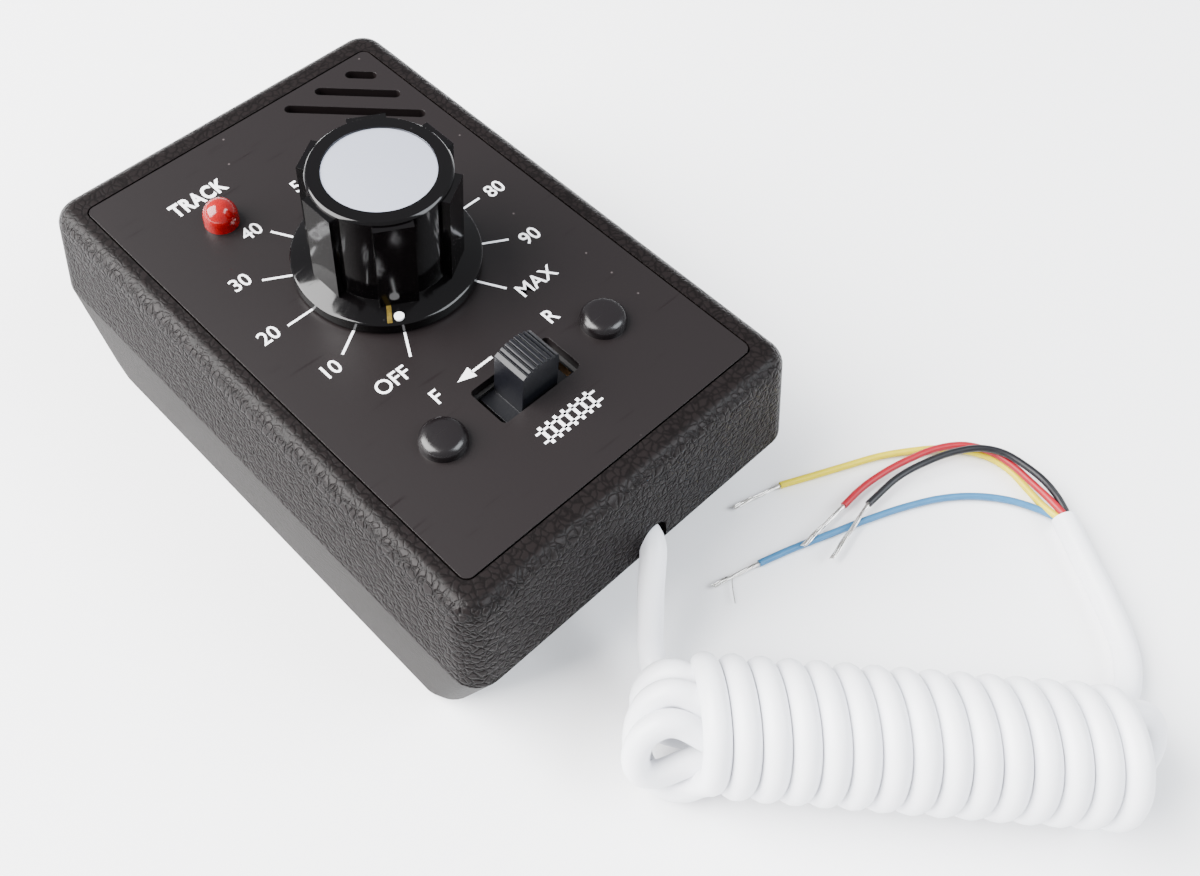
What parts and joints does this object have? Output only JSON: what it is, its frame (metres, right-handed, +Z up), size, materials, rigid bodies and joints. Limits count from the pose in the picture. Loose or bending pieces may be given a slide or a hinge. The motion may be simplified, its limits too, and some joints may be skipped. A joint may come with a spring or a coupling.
{
  "type": "train set controller",
  "caption": "Model railway speed controller: dark plastic case, rotary knob with dial, centre-off direction slide switch, red lamp, vent slots and a hard-wired multicore cable in a hank.",
  "frame": {"origin": "middle of the case's flat base, on the surface it stands on", "axes": "+Z up out of the control panel, +Y away from the operator along the case's length, +X to the operator's right"},
  "size_m": [0.0906, 0.1594, 0.0506],
  "materials": {
    "case_lower": "smooth moulded, dark",
    "case_upper": "leather grain, satin",
    "panel": "satin",
    "knob_black": "gloss",
    "knob_silver": "satin",
    "pointer_white": "satin",
    "brass": "machined",
    "plated_steel": "zinc plated",
    "tag_board": "phenolic board",
    "finger_black": "satin",
    "rivet_black": "satin",
    "lamp_red": "translucent, gloss",
    "board_green": "resin board",
    "sink_aluminium": "mill finish",
    "component_black": "moulded",
    "capacitor_blue": "sleeved",
    "resistor_tan": "lacquered",
    "tie_nylon": "natural nylon",
    "cable_white": "satin vinyl",
    "core_yellow": "satin vinyl",
    "core_red": "satin vinyl",
    "core_black": "satin vinyl",
    "core_blue": "satin vinyl",
    "tinned_copper": "tinned"
  },
  "bodies": {
    "case": {"bottom_shell": "case_lower", "top_shell": "case_upper", "control_panel": "panel", "case_screw_1": "plated_steel", "case_screw_2": "plated_steel", "case_screw_3": "plated_steel", "case_screw_4": "plated_steel", "control_bushing": "plated_steel", "control_washer": "plated_steel", "control_nut": "plated_steel", "control_can": "plated_steel", "control_tags": "tag_board", "switch_frame": "component_black", "switch_base": "tag_board", "switch_tags": "tinned_copper", "switch_rivet_left": "rivet_black", "switch_rivet_right": "rivet_black", "lamp_lens": "lamp_red", "lamp_lead_1": "tinned_copper", "lamp_lead_2": "tinned_copper", "circuit_board": "board_green", "board_screw_1": "plated_steel", "board_screw_2": "plated_steel", "heat_sink": "sink_aluminium", "power_transistor": "component_black", "smoothing_capacitor": "capacitor_blue", "bridge_rectifier": "component_black", "resistor_1": "resistor_tan", "resistor_2": "resistor_tan", "cable_tie": "tie_nylon", "cable_lead": "cable_white", "cable_hank": "cable_white", "cable_tail": "cable_white", "core_yellow": "core_yellow", "core_red": "core_red", "core_black": "core_black", "core_blue": "core_blue", "strands_yellow": "tinned_copper", "strands_red": "tinned_copper", "strands_black": "tinned_copper", "strands_blue": "tinned_copper"},
    "knob": {"knob_body": "knob_black", "knob_disc": "knob_silver", "knob_pointer": "pointer_white", "knob_collet": "brass", "knob_collet_nut": "brass", "control_shaft": "sink_aluminium"},
    "slider": {"switch_slider": "finger_black"}
  },
  "joints": [
    {"name": "knob_turn", "type": "hinge", "parent": "case", "child": "knob", "pos_m": [0, 0.0044, 0.0434], "axis": [0, 0, 1], "range_deg": [-300, 0]},
    {"name": "switch_slide", "type": "slide", "parent": "case", "child": "slider", "axis": [1, 0, 0], "range_m": [-0.003, 0.003]}
  ]
}
